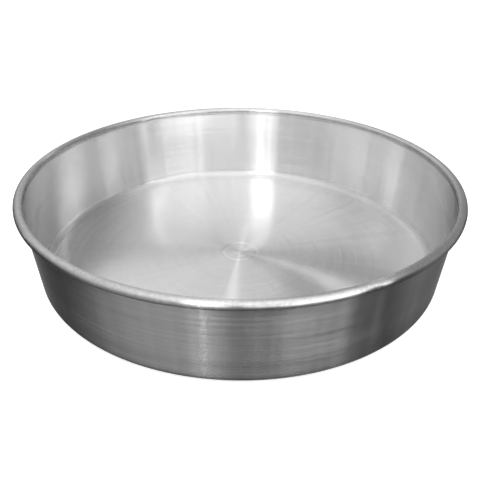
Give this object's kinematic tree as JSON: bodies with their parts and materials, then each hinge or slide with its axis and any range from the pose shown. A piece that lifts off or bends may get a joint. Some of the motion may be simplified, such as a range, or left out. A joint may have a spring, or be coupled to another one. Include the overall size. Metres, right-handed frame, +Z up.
{
  "type": "gold pan",
  "caption": "Round, steep-walled metal pan with a flat floor and a rolled, wire-stiffened rim, for washing gravel and sand in water to find gold.",
  "frame": {"origin": "middle of the flat base, on the plane that the pan rests on", "axes": "+Z up along the pan's axis, from the base to the rim; the pan is round, so X and Y differ only in the butt joint of the rim wire, which lies at +Y; -Y is the side seen from the front"},
  "size_m": [0.3556, 0.3555, 0.0735],
  "materials": {
    "aluminium_sheet": "spun and brushed round the axis, with fine circular tool lines",
    "steel_wire": "drawn and zinc coated, dull"
  },
  "bodies": {
    "root": {"pan_shell": "aluminium_sheet", "rim_wire": "steel_wire"}
  },
  "joints": []
}
